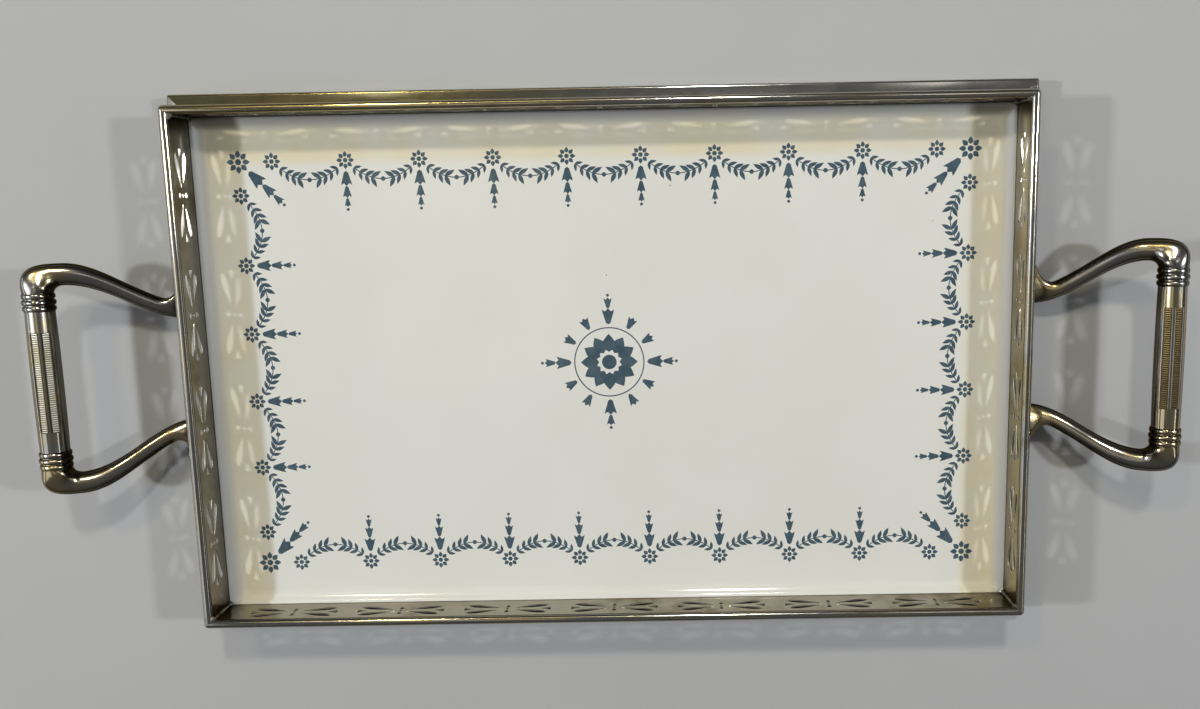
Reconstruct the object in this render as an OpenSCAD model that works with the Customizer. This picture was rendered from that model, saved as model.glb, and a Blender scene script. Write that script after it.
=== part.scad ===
// Serving tray: a glazed ceramic plate in a pierced metal gallery with two fixed handles.
// It lies flat, +Z up, with its length along X. The origin is at the middle of its underside.

/* [Tray] */
// Length over the rim, without the handles
tray_l = 400; // [320:1:600]
// Width over the rim
tray_w = 250; // [200:1:400]

/* [Plate] */
// Thickness of the plate
plate_t = 6; // [4:0.5:10]
// Rise of the plate's edge above its flat top
cove_h = 3; // [1:0.25:6]
// Width of the curved edge
cove_w = 6.5; // [3:0.25:12]
// Width of the level land on top of the edge
land_w = 0.8; // [0.4:0.1:2]
// Radius of the plate's corners
plate_r = 2; // [1:0.5:6]
// Gap between the plate and the gallery
plate_gap = 0.3; // [0.1:0.05:1]
// Depth of the recess in the plate's underside
foot_recess = 0.8; // [0.3:0.1:2]
// Width of the foot ring round that recess
foot_w = 16; // [12:1:30]

/* [Gallery] */
// Height of the rim above the plate's edge
gallery_h = 21; // [20:0.5:40]
// Thickness of the gallery sheet
sheet_t = 1.2; // [0.8:0.1:2]
// Width of the rim bead
bead_d = 4.3; // [3.5:0.1:6]
// How far the bead stands inside the gallery sheet
bead_proud = 0.2; // [0.1:0.05:0.4]
// Radius of the rim's outer corners
rim_r = 2.2; // [1:0.1:6]

/* [Piercing] */
// Height of the pierced row above the plate's edge
pierce_z = 10.6; // [8:0.1:12]
// Length of one motif
motif_l = 43; // [30:0.5:60]
// Least distance between two motifs
motif_gap = 9; // [4:0.5:20]
// Distance from the corner of the gallery to the first motif
motif_margin = 15; // [8:0.5:30]
// Largest width of a slit
slit_w = 3; // [1.2:0.1:3.4]
// Distance of a slit's inner tip from the middle of the motif
slit_start = 3.8; // [3:0.1:6]
// Distance of a slit's outer tip from the end of the motif
slit_inset = 1.6; // [0.2:0.1:3]
// Height of the slit's inner tip over the middle line
slit_near = 1.1; // [0.6:0.1:2]
// Height of the slit's outer tip over the middle line
slit_far = 4.4; // [3:0.1:5]
// Outward bow of a slit
slit_bow = 0.2; // [0:0.1:1]
// How far a slit's widest place lies towards its outer tip
slit_peak = 1.8; // [1:0.1:3]
// How full a slit is towards its tips
slit_full = 1.65; // [1:0.05:2]
// Diameter of the two outer dots
dot_d = 2.3; // [1:0.1:2.6]
// Diameter of the middle dot
mid_dot_d = 1.5; // [0.8:0.1:2]
// Distance of the outer dots from the middle line
dot_v = 3; // [2.6:0.1:4]
// Length of the small wedge at each end
wedge_l = 4.6; // [2:0.1:6]
// Width of the small wedge
wedge_w = 2.8; // [1:0.1:3]

/* [Base moulding] */
// How far the moulding stands out past the rim
rail_out = 7; // [5:0.5:14]
// Thickness of the moulding's metal
rail_t = 1.5; // [1:0.1:1.8]
// Depth of the moulding's outer edge below the plate's edge
nose_drop = 3.5; // [2.5:0.1:5]
// Rise of the moulding's top from its outer edge to the gallery
rail_rise = 1.8; // [0.6:0.1:2.2]
// Radius of the moulding's outer edge
nose_r = 1.2; // [0.5:0.1:1.6]
// Height of the outer edge band
nose_h = 2.9; // [2:0.1:4]
// Height of the band at the bottom
toe_h = 2.4; // [1:0.1:3]
// Depth of the fascia between the two bands
fascia_in = 0.7; // [0.3:0.1:1]
// Width of the ledge that carries the plate
ledge_w = 9; // [7:0.5:14]
// Thickness of the ledge
ledge_t = 1.5; // [1:0.1:3]
// Height of the lowest screw head over the table
foot_clear = 0.7; // [0.3:0.1:3]

/* [Felt] */
// Thickness of the felt strips
felt_t = 1; // [0.5:0.1:3]
// Distance of the felt from the edges of the ledge
felt_inset = 0.8; // [0.3:0.1:2]

/* [Corner braces] */
// Length of a brace's legs
brace_l = 42; // [30:1:80]
// Thickness of a brace
brace_t = 1.5; // [1:0.1:3]
// Distance of a brace from the edges of the ledge
brace_inset = 0.5; // [0.2:0.1:1.5]
// Diameter of the brace screws
brace_screw_d = 2.4; // [1.6:0.1:3]
// Diameter of their heads
brace_head_d = 4.6; // [3.6:0.1:6]
// Height of their heads
brace_head_h = 1.3; // [0.8:0.1:2]
// Distance of the last screw from the end of a leg
brace_screw_end = 6; // [4:0.5:12]
// Distance of the first screw from the corner
brace_screw_near = 16; // [13:0.5:18]

/* [Rivets] */
// Diameter of the gallery rivets
rivet_d = 2; // [1.2:0.1:2.6]
// Diameter of their flush heads
rivet_head_d = 3.4; // [2.8:0.1:4]
// Depth of their flush heads
rivet_sink = 0.7; // [0.4:0.05:0.75]
// Length of the set end behind the moulding
rivet_tail = 0.8; // [0.4:0.1:1.5]
// Distance from the corner of the gallery to the first rivet
rivet_margin = 40; // [20:1:60]
// Greatest distance between rivets
rivet_step = 85; // [60:1:160]

/* [Handles] */
// Distance of the grip's axis from the rim
handle_reach = 63.7; // [55:0.1:110]
// Angle at which the handles rise outward
handle_tilt = 25.3; // [5:0.1:27]
// How far the right grip sits towards the back, and the left one towards the front
handle_shift = 1.2; // [0:0.1:4]
// Distance of an arm's root from the middle of the tray
root_y = 29; // [15:0.1:50]
// Radius of an arm at its slimmest
arm_r = 4; // [3.7:0.1:4.6]
// Radius of an arm where it enters the elbow
elbow_r = 5.2; // [4:0.1:6]
// Radius of the elbow's inner corner
elbow_in_r = 3; // [1:0.1:6]
// Squareness of the elbow's outer corner
elbow_square = 3.3; // [2:0.1:4]
// Radius of the elbow's end, at the collar
stub_r = 6.5; // [6:0.1:9]
// Length of the flare from the moulding to the arm
flare_l = 12; // [4:0.5:14]
// How far the foot flares sideways
foot_out = 17; // [4:0.5:26]

/* [Grips] */
// Length of a grip between its collars
grip_l = 66.5; // [60:0.1:100]
// Radius of a grip in the middle
grip_r = 6.6; // [6:0.1:9]
// Radius of a grip at its ends
grip_end_r = 6.3; // [6:0.1:9]
// Length of the recessed panels
panel_l = 47.6; // [30:0.2:54]
// Width of a recessed panel
panel_w = 3.6; // [2:0.1:4]
// Depth of a recessed panel
panel_d = 0.9; // [0.4:0.1:1.4]
// Angle of a panel from the grip's own plane
panel_angle = 22.5; // [18:0.5:40]
// Angle by which the right grip leans inward
grip_turn = 15; // [0:0.5:30]
// How much further the left grip has turned on its rod
grip_slip = 6; // [0:0.5:20]
// Length of a collar
collar_l = 8.8; // [6:0.1:12]
// Outer radius of a collar's middle ring
collar_r = 7.2; // [6.8:0.1:10]
// Radius of the core of a collar
collar_core_r = 6.3; // [5.8:0.1:6.6]
// Radius of a ring's round profile
ring_r = 1.3; // [0.8:0.05:1.4]
// How much lower the collar's two end rings are
ring_step = 0.2; // [0:0.05:0.6]
// Diameter of the spigot on each arm
spigot_d = 8; // [7:0.1:9]
// Length of the spigot inside the grip
spigot_in = 4; // [2:0.5:8]
// Diameter of the tie rod
rod_d = 4.8; // [3:0.1:5]
// Length of the tie rod inside each elbow
rod_in = 6; // [3:0.5:8]
// Clearance round spigots and rods
turn_gap = 0.1; // [0.05:0.05:0.3]

/* [Handle screws] */
// Diameter of the handle screws
screw_d = 2.9; // [2:0.1:3]
// Diameter of their six-sided heads over the corners
screw_head_d = 4.6; // [4:0.1:5]
// Height of their heads
screw_head_h = 2; // [1:0.1:3]
// Length of a screw inside the arm's foot
screw_grip = 5; // [3:0.5:5.5]
// Clearance round a screw in a plain hole
screw_gap = 0.15; // [0.05:0.05:0.4]
// Width of the brace screws' slots
slot_w = 0.7; // [0.4:0.1:1]
// Depth of the brace screws' slots
slot_d = 0.6; // [0.3:0.1:0.8]

/* [Hidden] */
$fn = 64;
SIDES = ["front", "right", "back", "left"];
// Overlap that joins solids cleanly, and how far cutting shapes run past the gallery
eps = 0.01;
reach = 30;

// Inner face of the gallery: half of its length and half of its width
half_l = tray_l / 2 - (bead_d - bead_proud);
half_w = tray_w / 2 - (bead_d - bead_proud);

// Levels from the table up
ledge_z = foot_clear + brace_head_h + brace_t;
ledge_top = ledge_z + ledge_t;
plate_z = ledge_top + felt_t;
floor_z = plate_z + plate_t;
lip_z = floor_z + cove_h;
rim_z = lip_z + gallery_h;
bead_z = rim_z - bead_d / 2;

// Distances outward from the gallery's inner face
bead_s = bead_d / 2 - bead_proud;
rail_s = bead_d - bead_proud + rail_out;
web_s = sheet_t + rail_t;
channel_s = rail_s - fascia_in - rail_t;
nose_z = lip_z - nose_drop;
band_z = nose_z - nose_h;
rivet_z = (ledge_top + floor_z) / 2;

// Handles: the grip's axis, the arms' roots on the moulding's outer face, level with its top edge,
// the ends of the grip's pieces, and the centre of the elbow's inner corner
grip_x = tray_l / 2 + handle_reach;
face_x = half_l + rail_s;
handle_z = nose_z - arm_r;
collar_y = grip_l / 2;
stub_y = collar_y + collar_l;
elbow_x = grip_x - stub_r - elbow_in_r;
elbow_y = stub_y + elbow_in_r + elbow_r;
elbow_top = elbow_in_r + 2 * elbow_r;
elbow_side = elbow_in_r + 2 * stub_r;
grip_z = handle_z + lift(grip_x);

// Height of the moulding's sloping top at a distance outward from the gallery's inner face
function rail_top(s) = nose_z + rail_rise * (rail_s - nose_r - s) / (rail_s - nose_r - sheet_t);

// Rise of a handle at a distance from the middle of the tray
function lift(x) = max(0, x - face_x) * tan(handle_tilt);

function smooth(t) = let (u = min(1, max(0, t))) u * u * (3 - 2 * u);

function half_along(side) = side % 2 == 0 ? half_l : half_w;

function half_across(side) = side % 2 == 0 ? half_w : half_l;

// Evenly spread places along a side, between equal margins
function spread(half, margin, count) =
  [for (i = [0:count - 1]) (count == 1) ? 0 : (2 * i / (count - 1) - 1) * (half - margin)];

function motif_places(half) =
  let (room = 2 * (half - motif_margin), count = floor((room + motif_gap) / (motif_l + motif_gap)))
  spread(half, motif_margin + motif_l / 2, count);

function rivet_places(half) =
  let (room = 2 * (half - rivet_margin), count = 1 + ceil(room / rivet_step))
  spread(half, rivet_margin, count);

// Puts a side's piece in place. In its own frame it runs along X, with outward along -Y.
module on_side(side) {
  rotate(90 * side) translate([0, -half_across(side), 0]) children();
}

// Plan of a side's piece with mitred ends, from a distance inside the gallery to one outside it
module mitre_plan(side) {
  half = half_along(side);
  inner = half - reach;
  outer = half + reach;
  translate([0, 0, -1])
    linear_extrude(rim_z + 2)
      polygon([[-inner, reach], [inner, reach], [outer, -reach], [-outer, -reach]]);
}

// A section drawn as outward distance and height, run along a side and mitred at both ends
module mitred_run(side) {
  run = half_along(side) + reach;
  intersection() {
    translate([-run, 0, 0])
      rotate([90, 0, 90])
        linear_extrude(2 * run)
          mirror([1, 0]) children();
    mitre_plan(side);
  }
}

module rounded_plan(l, w, r) {
  square([l - 2 * r, w], center = true);
  square([l, w - 2 * r], center = true);
  for (x = [-1, 1], y = [-1, 1])
    translate([x * (l / 2 - r), y * (w / 2 - r)]) circle(r);
}

// Ceramic plate: a slab with a coved edge, and a shallow recess in its underside
module cove_section() {
  steps = 8;
  polygon(concat(
    [[-plate_gap, plate_z + eps], [-plate_gap, lip_z], [-plate_gap - land_w, lip_z]],
    [for (i = [1:steps])
      let (up = 1 - sin(90 * i / steps))
      [-plate_gap - cove_w + (cove_w - land_w) * up, floor_z + cove_h * up * up]],
    [[-plate_gap - cove_w, plate_z + eps]]
  ));
}

module ceramic_plate() {
  l = 2 * (half_l - plate_gap);
  w = 2 * (half_w - plate_gap);
  color("ivory")
    difference() {
      intersection() {
        union() {
          translate([0, 0, plate_z]) linear_extrude(plate_t) square([l, w], center = true);
          for (side = [0:3]) on_side(side) mitred_run(side) cove_section();
        }
        translate([0, 0, plate_z - 1]) linear_extrude(plate_t + cove_h + 2) rounded_plan(l, w, plate_r);
      }
      translate([0, 0, plate_z - 1])
        linear_extrude(1 + foot_recess)
          rounded_plan(l - 2 * foot_w, w - 2 * foot_w, plate_r);
    }
}

// Felt strips between the ledge and the plate
module bedding(side) {
  color("darkolivegreen")
    on_side(side)
      mitred_run(side)
        translate([-ledge_w + felt_inset, ledge_top]) square([ledge_w - 2 * felt_inset, felt_t]);
}

// Outer face of the base moulding, as outward distance and height, from the table to its top edge
outer_face = concat(
  [
    [rail_s, 0],
    [rail_s, toe_h],
    [rail_s - fascia_in, toe_h + fascia_in],
    [rail_s - fascia_in, band_z - fascia_in],
    [rail_s, band_z],
  ],
  [for (a = [0:15:90]) [rail_s - nose_r + nose_r * cos(a), nose_z - nose_r + nose_r * sin(a)]]
);

// Base moulding: a bent section with a ledge inside and a ridged edge outside
module rail_section() {
  polygon(concat(
    outer_face,
    [
      [sheet_t, rail_top(sheet_t)],
      [sheet_t, ledge_top],
      [-ledge_w, ledge_top],
      [-ledge_w, ledge_z],
      [web_s, ledge_z],
      [web_s, rail_top(web_s) - rail_t],
      [channel_s, rail_top(channel_s) - rail_t],
      [channel_s, 0],
    ]
  ));
}

module rivet_holes(side) {
  for (x = rivet_places(half_along(side)))
    translate([x, 0, rivet_z]) rotate([90, 0, 0]) cylinder(h = web_s + 1, d = rivet_d);
}

// Puts a shape at each brace screw: two on each leg, in the middle of the ledge
module at_brace_screws(z) {
  across = ledge_w / 2;
  for (x = [-1, 1], y = [-1, 1], along = [brace_screw_near, brace_l - brace_screw_end])
    for (place = [[along, across], [across, along]])
      translate([x * (half_l - place[0]), y * (half_w - place[1]), z]) children();
}

module base_rail(side) {
  has_handle = side % 2 == 1;
  color("silver")
    difference() {
      on_side(side)
        difference() {
          mitred_run(side) rail_section();
          rivet_holes(side);
          if (has_handle)
            for (y = [-1, 1])
              translate([y * root_y, eps - channel_s, handle_z])
                rotate([90, 0, 0]) cylinder(h = rail_s, d = screw_d + 2 * screw_gap);
        }
      at_brace_screws(0) cylinder(h = plate_z, d = brace_screw_d);
    }
}

// Pierced gallery sheet. A motif is a row of dots with two leaf-shaped slits and a wedge on either side.
module slit() {
  steps = 9;
  l = motif_l / 2 - slit_inset - slit_start;
  function middle(t) = slit_near + (slit_far - slit_near) * t + slit_bow * sin(180 * t);
  function half_width(t) = slit_w / 2 * pow(sin(180 * pow(t, slit_peak)), 1 / slit_full);
  polygon(concat(
    [for (i = [0:steps]) [slit_start + l * i / steps, middle(i / steps) - half_width(i / steps)]],
    [for (i = [steps - 1:-1:1]) [slit_start + l * i / steps, middle(i / steps) + half_width(i / steps)]]
  ));
}

module motif() {
  circle(d = mid_dot_d);
  for (v = [-1, 1]) translate([0, v * dot_v]) circle(d = dot_d);
  for (end = [0, 1]) mirror([end, 0]) {
    for (v = [0, 1]) mirror([0, v]) slit();
    polygon([
      [motif_l / 2 - wedge_l, 0],
      [motif_l / 2, wedge_w / 2],
      [motif_l / 2, -wedge_w / 2],
    ]);
  }
}

module gallery(side) {
  half = half_along(side);
  color("silver")
    on_side(side)
      difference() {
        intersection() {
          rotate([90, 0, 0])
            linear_extrude(sheet_t)
              difference() {
                translate([-half - reach, ledge_top]) square([2 * (half + reach), bead_z - ledge_top]);
                for (x = motif_places(half)) translate([x, lip_z + pierce_z]) motif();
              }
          mitre_plan(side);
        }
        rivet_holes(side);
        for (x = rivet_places(half))
          translate([x, eps, rivet_z])
            rotate([90, 0, 0])
              cylinder(h = rivet_sink + eps, d1 = rivet_head_d, d2 = rivet_d);
      }
}

module gallery_rivets() {
  color("goldenrod")
    for (side = [0:3]) on_side(side)
      for (x = rivet_places(half_along(side)))
        translate([x, 0, rivet_z])
          rotate([90, 0, 0]) {
            cylinder(h = rivet_sink, d1 = rivet_head_d, d2 = rivet_d);
            cylinder(h = web_s, d = rivet_d);
            translate([0, 0, web_s]) cylinder(h = rivet_tail, d = rivet_head_d);
          }
}

// Rim bead: a round bead with a rebate that sits on the top edge of the gallery sheet
module rim_bead(side) {
  color("silver")
    intersection() {
      on_side(side)
        mitred_run(side)
          difference() {
            translate([bead_s, bead_z]) circle(d = bead_d);
            translate([-bead_d, bead_z - bead_d]) square([bead_d + sheet_t, bead_d]);
          }
      linear_extrude(rim_z + 1) rounded_plan(tray_l, tray_w, rim_r);
    }
}

// Corner braces under the mitres of the base moulding
module corner_brace(x_sign, y_sign) {
  outer_x = half_l - brace_inset;
  outer_y = half_w - brace_inset;
  leg_w = ledge_w - 2 * brace_inset;
  color("goldenrod")
    difference() {
      mirror([x_sign < 0 ? 1 : 0, 0])
        mirror([0, y_sign < 0 ? 1 : 0])
          translate([0, 0, ledge_z - brace_t])
            linear_extrude(brace_t) {
              translate([outer_x - brace_l, outer_y - leg_w]) square([brace_l, leg_w]);
              translate([outer_x - leg_w, outer_y - brace_l]) square([leg_w, brace_l]);
            }
      at_brace_screws(0) cylinder(h = plate_z, d = brace_screw_d + 2 * screw_gap);
    }
}

module brace_screws() {
  head_z = ledge_z - brace_t - brace_head_h;
  color("gray")
    at_brace_screws(head_z)
      difference() {
        union() {
          cylinder(h = brace_head_h, d = brace_head_d);
          cylinder(h = brace_head_h + brace_t + ledge_t, d = brace_screw_d);
        }
        rotate(45) cube([brace_head_d + 1, slot_w, 2 * slot_d], center = true);
      }
}

// Handle arms. Each ring of points is an ellipse across the arm, from the moulding to the collar.
arm_sides = 24;

function arm_y(x, root) = root + (elbow_y - root) * smooth((x - face_x) / (elbow_x - face_x));

function arm_slope(x, root) = (arm_y(x + eps, root) - arm_y(x - eps, root)) / (2 * eps);

function arm_half(x) =
  let (waist = (face_x + elbow_x) / 2)
  x < waist ? arm_r : arm_r + (elbow_r - arm_r) * smooth((x - waist) / (elbow_x - waist));

function flare(x) = pow(min(1, max(0, (face_x + flare_l - x) / flare_l)), 2);

function ring(x, y, turn, wide, high, z) =
  [for (i = [0:arm_sides - 1])
    let (a = 360 * i / arm_sides, w = wide * cos(a))
    [x - w * sin(turn), y + w * cos(turn), z + high * sin(a)]];

function arm_ring(x, root) =
  let (
    f = flare(x),
    turn = (1 - f) * atan(arm_slope(x, root)),
    out = f * foot_out / 2
  )
  ring(x - out * sin(turn), arm_y(x, root) + out * cos(turn), turn, arm_half(x) + out,
    arm_half(x), handle_z + lift(x));

function elbow_ring(a) =
  let (
    n = elbow_square,
    out = pow(pow(sin(a) / elbow_side, n) + pow(cos(a) / elbow_top, n), -1 / n),
    middle = (out + elbow_in_r) / 2,
    x = elbow_x + middle * sin(a),
    high = elbow_r + (stub_r - elbow_r) * smooth(a / 90)
  )
  ring(x, stub_y + middle * cos(a), -a, (out - elbow_in_r) / 2, high, handle_z + lift(x));

function arm_rings(root) =
  let (flare_steps = 6, run_steps = 10, turn_steps = 9, run_x = face_x + flare_l)
  concat(
    [arm_ring(face_x - nose_r, root)],
    [for (i = [0:flare_steps]) arm_ring(face_x + flare_l * i / flare_steps, root)],
    [for (i = [1:run_steps - 1]) arm_ring(run_x + (elbow_x - run_x) * i / run_steps, root)],
    [for (i = [0:turn_steps]) elbow_ring(90 * i / turn_steps)]
  );

module arm_body(root) {
  rings = arm_rings(root);
  count = len(rings);
  last = (count - 1) * arm_sides;
  polyhedron(
    points = [for (r = rings) each r],
    faces = concat(
      [[for (i = [0:arm_sides - 1]) i]],
      [[for (i = [arm_sides - 1:-1:0]) last + i]],
      [for (r = [0:count - 2], i = [0:arm_sides - 1])
        let (a = r * arm_sides + i, b = r * arm_sides + (i + 1) % arm_sides)
        [a, a + arm_sides, b]],
      [for (r = [0:count - 2], i = [0:arm_sides - 1])
        let (a = r * arm_sides + i, b = r * arm_sides + (i + 1) % arm_sides)
        [b, a + arm_sides, b + arm_sides]]
    )
  );
}

// Everything behind the outer face of the right-hand base moulding, which the feet are cut to
module behind_outer_face() {
  translate([half_l, half_w, 0])
    rotate([90, 0, 0])
      linear_extrude(2 * half_w)
        polygon(concat(outer_face, [[0, nose_z], [0, 0]]));
}

module along_grip(y) {
  translate([grip_x, y, grip_z]) rotate([-90, 0, 0]) children();
}

// Puts a piece of the right-hand handle in place at either end of the tray
module at_end(x_sign) {
  translate([0, x_sign * handle_shift, 0]) mirror([x_sign < 0 ? 1 : 0, 0, 0]) children();
}

module arm(x_sign, y_sign) {
  spigot_y = collar_y - spigot_in;
  root = root_y - x_sign * y_sign * handle_shift;
  color("silver")
    at_end(x_sign)
      mirror([0, y_sign < 0 ? 1 : 0, 0])
        difference() {
          union() {
            arm_body(root);
            along_grip(spigot_y) cylinder(h = stub_y - spigot_y + rod_in, d = spigot_d);
          }
          behind_outer_face();
          along_grip(spigot_y - 1) cylinder(h = stub_y - spigot_y + 1 + rod_in, d = rod_d + 2 * turn_gap);
          translate([half_l + channel_s, root, handle_z])
            rotate([0, 90, 0]) cylinder(h = rail_t + screw_grip, d = screw_d);
        }
}

// Collar: a sleeve with three round rings, of which the middle one is the highest
module collar_section() {
  ring_x = collar_r - ring_r;
  difference() {
    union() {
      square([collar_core_r, collar_l]);
      for (z = [ring_r, collar_l - ring_r]) translate([ring_x - ring_step, z]) circle(ring_r);
      translate([ring_x, collar_l / 2]) circle(ring_r);
    }
    square([spigot_d / 2 + turn_gap, collar_l]);
  }
}

module collar(x_sign, y_sign) {
  color("silver")
    at_end(x_sign)
      mirror([0, y_sign < 0 ? 1 : 0, 0])
        along_grip(collar_y) rotate_extrude() collar_section();
}

// Grip: a slightly barrelled sleeve with two recessed panels above and two below
module grip(x_sign) {
  steps = 8;
  bore_r = rod_d / 2 + turn_gap;
  socket_r = spigot_d / 2 + turn_gap;
  turn = grip_turn + (x_sign < 0 ? grip_slip : 0);
  color("silver")
    at_end(x_sign)
      difference() {
        along_grip(-collar_y)
          rotate_extrude()
            polygon(concat(
              [[bore_r, 0]],
              [for (i = [0:steps])
                let (t = 2 * i / steps - 1)
                [grip_r - (grip_r - grip_end_r) * t * t, grip_l * i / steps]],
              [[bore_r, grip_l]]
            ));
        for (end = [-collar_y - 1, collar_y - spigot_in])
          along_grip(end) cylinder(h = spigot_in + 1, r = socket_r);
        for (a = [-panel_angle, panel_angle, 180 - panel_angle, 180 + panel_angle])
          translate([grip_x, 0, grip_z])
            rotate([0, a - turn, 0])
              translate([-panel_w / 2, -panel_l / 2, grip_r - panel_d])
                cube([panel_w, panel_l, panel_d + 1]);
      }
}

module tie_rod(x_sign) {
  half = stub_y + rod_in;
  color("gray")
    at_end(x_sign)
      along_grip(-half) cylinder(h = 2 * half, d = rod_d);
}

// Six-sided screws from inside the base moulding into the arms' feet, turned with a spanner from below
module handle_screws() {
  color("gray")
    for (x = [0, 1], y = [-1, 1])
      mirror([x, 0, 0])
        translate([half_l + channel_s, y * root_y, handle_z])
          rotate([0, 90, 0]) {
            translate([0, 0, -screw_head_h]) cylinder(h = screw_head_h, d = screw_head_d, $fn = 6);
            cylinder(h = rail_t + screw_grip, d = screw_d);
          }
}

ceramic_plate();
for (side = [0:3]) {
  bedding(side);
  base_rail(side);
  gallery(side);
  rim_bead(side);
}
corner_brace(-1, -1);  // corner_brace_front_left
corner_brace(1, -1);  // corner_brace_front_right
corner_brace(-1, 1);  // corner_brace_back_left
corner_brace(1, 1);  // corner_brace_back_right
brace_screws();
gallery_rivets();
arm(-1, -1);  // left_arm_front
arm(-1, 1);  // left_arm_back
arm(1, -1);  // right_arm_front
arm(1, 1);  // right_arm_back
collar(-1, -1);  // left_collar_front
collar(-1, 1);  // left_collar_back
collar(1, -1);  // right_collar_front
collar(1, 1);  // right_collar_back
grip(-1);  // left_grip
grip(1);  // right_grip
tie_rod(-1);  // left_tie_rod
tie_rod(1);  // right_tie_rod
handle_screws();
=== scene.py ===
"""Serving tray with a ceramic plate, a pierced gallery and two handles: shapes, finishes, light, camera."""
import math
import random
from collections import namedtuple

import bmesh
import bpy
from mathutils import Euler, Matrix, Vector, geometry


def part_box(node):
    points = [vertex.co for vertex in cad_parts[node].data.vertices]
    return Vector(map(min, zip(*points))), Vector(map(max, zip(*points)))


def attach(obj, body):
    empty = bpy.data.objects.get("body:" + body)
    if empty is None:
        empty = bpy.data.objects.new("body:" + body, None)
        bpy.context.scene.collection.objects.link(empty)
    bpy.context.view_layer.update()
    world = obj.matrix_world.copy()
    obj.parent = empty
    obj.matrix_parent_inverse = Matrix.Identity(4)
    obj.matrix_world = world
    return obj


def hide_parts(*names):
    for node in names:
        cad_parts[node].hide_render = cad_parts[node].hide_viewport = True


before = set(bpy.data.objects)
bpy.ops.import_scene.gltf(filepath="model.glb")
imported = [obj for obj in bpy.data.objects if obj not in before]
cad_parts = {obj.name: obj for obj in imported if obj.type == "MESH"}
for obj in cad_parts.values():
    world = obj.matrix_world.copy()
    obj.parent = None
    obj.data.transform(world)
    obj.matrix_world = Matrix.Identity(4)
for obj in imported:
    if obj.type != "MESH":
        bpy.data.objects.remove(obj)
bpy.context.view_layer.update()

# Lengths below are millimetres. Meshes are scaled to metres when they are made.
MM = 0.001
SIDES = ("front", "right", "back", "left")
SIGNS = (("left", -1), ("right", 1))
ENDS = (("front", -1), ("back", 1))


def box_mm(node):
    low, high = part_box(node)
    return low / MM, high / MM


# Gallery, rim and base moulding, as the frame has them. "Out" is measured from the gallery's inner face.
wall_low, wall_high = box_mm("gallery_right")
HALF_L = wall_low.x
HALF_W = box_mm("gallery_back")[0].y
SHEET_T = wall_high.x - wall_low.x
# The sheet is drawn thinner than it is packed, so that slanting light comes through its slits
SHEET_SEEN = 0.5
SHEET_LOW = wall_low.z
SHEET_HIGH = wall_high.z

rim_low, rim_high = box_mm("rim_bead_back")
BEAD_R = (rim_high.y - rim_low.y) / 2
BEAD_OUT = (rim_high.y + rim_low.y) / 2 - HALF_W
BEAD_Z = rim_high.z - BEAD_R
RIM_CORNER_R = 2.2

rail_low, rail_high = box_mm("base_rail_back")
RAIL_OUT = rail_high.y - HALF_W
RAIL_TOP = rail_high.z
LEDGE_W = HALF_W - rail_low.y
LEDGE_T = 1.5
LEDGE_BEVEL = 0.2
RAIL_T = 1.5
RAIL_RISE = 1.8
RAIL_SOFT = 0.3
NOSE_R = 1.2
NOSE_H = 2.9
TOE_H = 2.4
FASCIA_IN = 0.7
NOSE_Z = RAIL_TOP - RAIL_RISE

# Plate
plate_low, plate_high = box_mm("ceramic_plate")
COVE_H = 3
COVE_W = 6.5
LAND_W = 0.8
FOOT_W = 16
FOOT_RECESS = 0.8
EDGE_FILL = 0.22
PLATE_FLOOR = plate_high.z - COVE_H

# Piercing
MOTIF_L = 43
MOTIF_GAP = 9
MOTIF_MARGIN = 15
PIERCE_Z = plate_high.z + 10.6
SLIT_W = 3
SLIT_START = 3.8
SLIT_INSET = 1.6
SLIT_NEAR = 1.1
SLIT_FAR = 4.4
SLIT_BOW = 0.2
SLIT_PEAK = 1.8
SLIT_FULL = 1.65
DOT_D = 2.3
MID_DOT_D = 1.5
DOT_V = 3
WEDGE_L = 4.6
WEDGE_W = 2.8
WEDGE_SOFT = 0.3
PUNCH_EDGE = 0.2

# Handles. They rise outward, and each sits a little off the middle.
grip_low, grip_high = box_mm("right_grip")
collar_low, collar_high = box_mm("right_collar_back")
GRIP_X = (collar_low.x + collar_high.x) / 2
GRIP_Z = (collar_low.z + collar_high.z) / 2
GRIP_R = (grip_high.x - grip_low.x) / 2
GRIP_BARREL = 0.3
GRIP_PLAIN = 4
HANDLE_SHIFT = (grip_low.y + grip_high.y) / 2
COLLAR_Y = collar_low.y - HANDLE_SHIFT
COLLAR_R = (collar_high.x - collar_low.x) / 2
COLLAR_CORE_R = 6.3
COLLAR_BORE_R = 4.1
RING_COUNT = 3
RING_STEP = 0.2
RING_GROOVE = 0.5
RING_FULL = 0.8
STUB_Y = collar_high.y - HANDLE_SHIFT
FACE_X = HALF_L + RAIL_OUT
HANDLE_TILT = math.radians(25.3)
ROOT_Y = 29
ROOT_Z = GRIP_Z - (GRIP_X - FACE_X) * math.tan(HANDLE_TILT)
ARM_R = 4
ELBOW_R = 5.2
ELBOW_IN_R = 3
ELBOW_SQUARE = 3.3
ELBOW_FLAT = 0.9
STUB_R = 6.5
ELBOW_X = GRIP_X - STUB_R - ELBOW_IN_R
ELBOW_Y = STUB_Y + ELBOW_IN_R + ELBOW_R
FLARE_L = 12
FOOT_OUT = 17
PANEL_L = 47.6
PANEL_W = 3.6
PANEL_D = 0.9
PANEL_WALL = 0.12
PANEL_ANGLE = 22.5
EDGE_ANGLE = 4
GRIP_TURN = math.radians(15)
GRIP_SLIP = math.radians(6)
RIB_COUNT = 46
RIB_H = 0.4
RIB_MIDDLE = 0.55
RIB_SWING = 0.85
RIB_MARGIN = 0.4
RIB_DARK_H = 0.2


# Mesh helpers

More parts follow.
